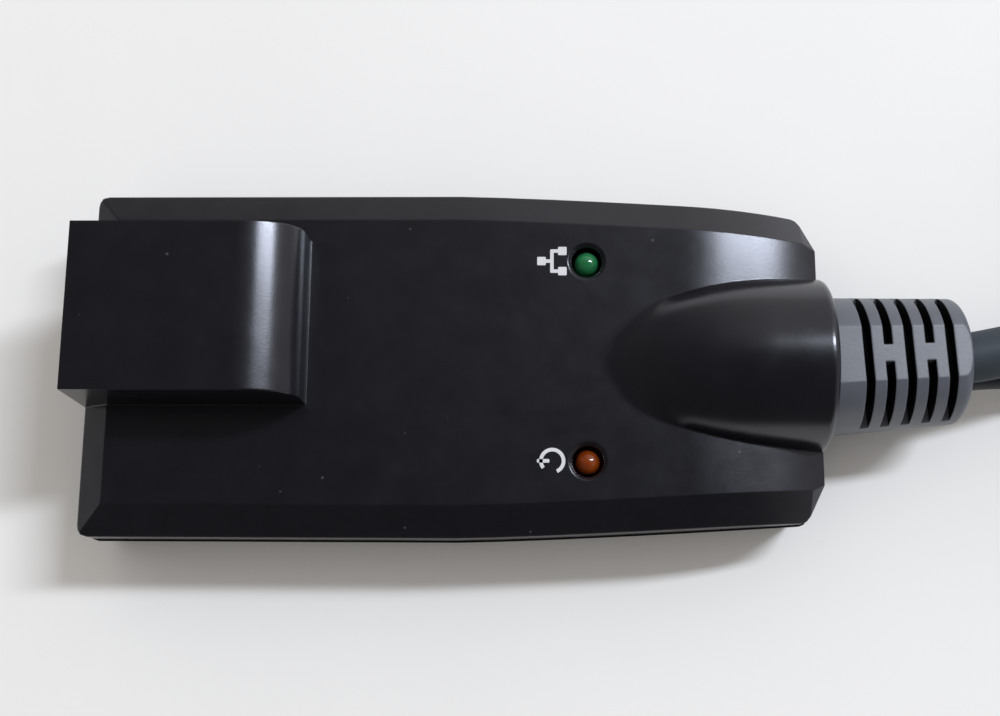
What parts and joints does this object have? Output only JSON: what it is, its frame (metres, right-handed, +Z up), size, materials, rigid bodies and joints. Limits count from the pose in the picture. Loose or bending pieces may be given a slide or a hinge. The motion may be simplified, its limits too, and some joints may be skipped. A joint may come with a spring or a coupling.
{
  "type": "kvm adapter cable",
  "caption": "Console switch adapter: flat case with a hooded network socket, a ribbed strain relief, and cords to a display plug and two round keyboard and mouse plugs.",
  "frame": {"origin": "on the surface the case lies on, under the middle of the case with its strain relief", "axes": "+X from the network socket to the cords, +Y across the case towards the hood's side, +Z up"},
  "size_m": [0.2655, 0.0756, 0.0225],
  "materials": {
    "case_black": "satin moulded plastic",
    "base_black": "fine-textured moulded plastic",
    "screw_steel": "zinc-plated",
    "board_green": "solder mask",
    "socket_black": "moulded",
    "contact_gold": "gold-plated",
    "lens_green": "tinted clear",
    "lens_amber": "tinted clear",
    "chip_black": "moulded",
    "can_metal": "satin",
    "header_cream": "moulded",
    "wire_red": "extruded",
    "relief_grey": "satin flexible moulding",
    "cord_grey": "satin extruded jacket",
    "cord_dark": "satin extruded jacket",
    "tie_black": "moulded nylon",
    "plug_blue": "moulded",
    "plug_metal": "nickel-plated",
    "insert_blue": "moulded",
    "knob_black": "moulded",
    "plug_purple": "moulded",
    "plug_green": "moulded"
  },
  "bodies": {
    "adapter": {"top_shell": "case_black", "bottom_shell": "base_black", "case_screws": "screw_steel", "circuit_board": "board_green", "network_socket": "socket_black", "socket_contacts": "contact_gold", "link_lamp": "lens_green", "power_lamp": "lens_amber", "control_chip": "chip_black", "memory_chip": "chip_black", "crystal": "can_metal", "capacitors": "can_metal", "cord_header": "header_cream", "header_plug": "header_cream", "inner_wires": "wire_red", "strain_relief": "relief_grey", "display_cord": "cord_grey", "keyboard_mouse_cord": "cord_dark", "cord_splitter": "cord_dark", "keyboard_cord": "cord_dark", "mouse_cord": "cord_dark", "cord_tie": "tie_black", "display_plug_body": "plug_blue", "display_plug_shell": "plug_metal", "display_plug_insert": "insert_blue", "display_plug_pins": "contact_gold", "keyboard_plug_body": "plug_purple", "keyboard_plug_shell": "plug_metal", "keyboard_plug_core": "chip_black", "keyboard_plug_pins": "contact_gold", "mouse_plug_body": "plug_green", "mouse_plug_shell": "plug_metal", "mouse_plug_core": "chip_black", "mouse_plug_pins": "contact_gold"},
    "left_screw": {"thumbscrew_left": "knob_black"},
    "right_screw": {"thumbscrew_right": "knob_black"}
  },
  "joints": [
    {"name": "left_screw_turn", "type": "hinge", "parent": "adapter", "child": "left_screw", "pos_m": [0.0777, 0.0388, 0.0078], "axis": [1, 0, 0], "continuous": true},
    {"name": "right_screw_turn", "type": "hinge", "parent": "adapter", "child": "right_screw", "pos_m": [0.0777, 0.0138, 0.0078], "axis": [1, 0, 0], "continuous": true}
  ]
}
